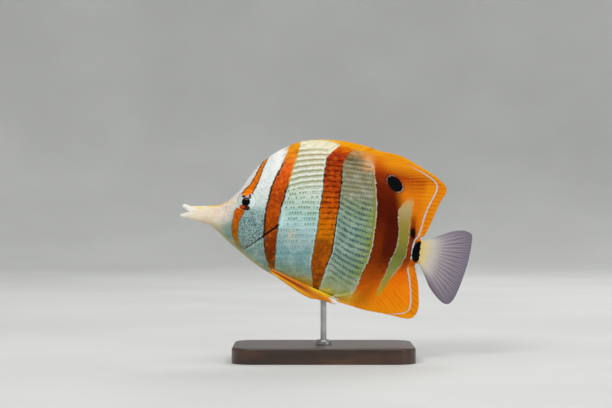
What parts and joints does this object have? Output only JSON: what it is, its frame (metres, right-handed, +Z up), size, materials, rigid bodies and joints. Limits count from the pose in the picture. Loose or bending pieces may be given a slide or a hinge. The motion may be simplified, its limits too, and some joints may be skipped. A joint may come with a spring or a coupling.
{
  "type": "copperband butterflyfish model",
  "caption": "Still life-size model of a long-snouted banded butterflyfish, held on a rod over a flat base.",
  "frame": {"origin": "centre of the whole model's box, on the underside of the display base", "axes": "+X from the snout towards the tail, +Y towards the fish's right side, +Z up"},
  "size_m": [0.1498, 0.056, 0.1128],
  "materials": {
    "skin": "satin scaled skin, silvery white with orange bands",
    "snout_skin": "satin cream skin with fine yellow streaks",
    "fin_orange": "satin, ribbed by soft rays",
    "fin_yellow": "satin, ribbed by spines and rays",
    "fin_tail": "thin, milky, ribbed by branched rays",
    "fin_clear": "thin and clear, ribbed by fine rays",
    "eye": "wet gloss",
    "stand_wood": "dark satin varnish",
    "stand_steel": "fine brushed"
  },
  "bodies": {
    "root": {"jaw_upper": "snout_skin", "jaw_lower": "snout_skin", "snout": "snout_skin", "head": "skin", "torso": "skin", "tail": "skin", "gill_cover_left": "skin", "gill_cover_right": "skin", "dorsal_fin_spiny": "fin_yellow", "dorsal_fin_soft": "fin_orange", "anal_fin": "fin_orange", "caudal_fin": "fin_tail", "pectoral_fin_left": "fin_clear", "pectoral_fin_right": "fin_clear", "pelvic_fin_left": "fin_yellow", "pelvic_fin_right": "fin_yellow", "eye_left": "eye", "eye_right": "eye", "stand_base": "stand_wood", "stand_rod": "stand_steel", "stand_collar": "stand_steel"}
  },
  "joints": []
}
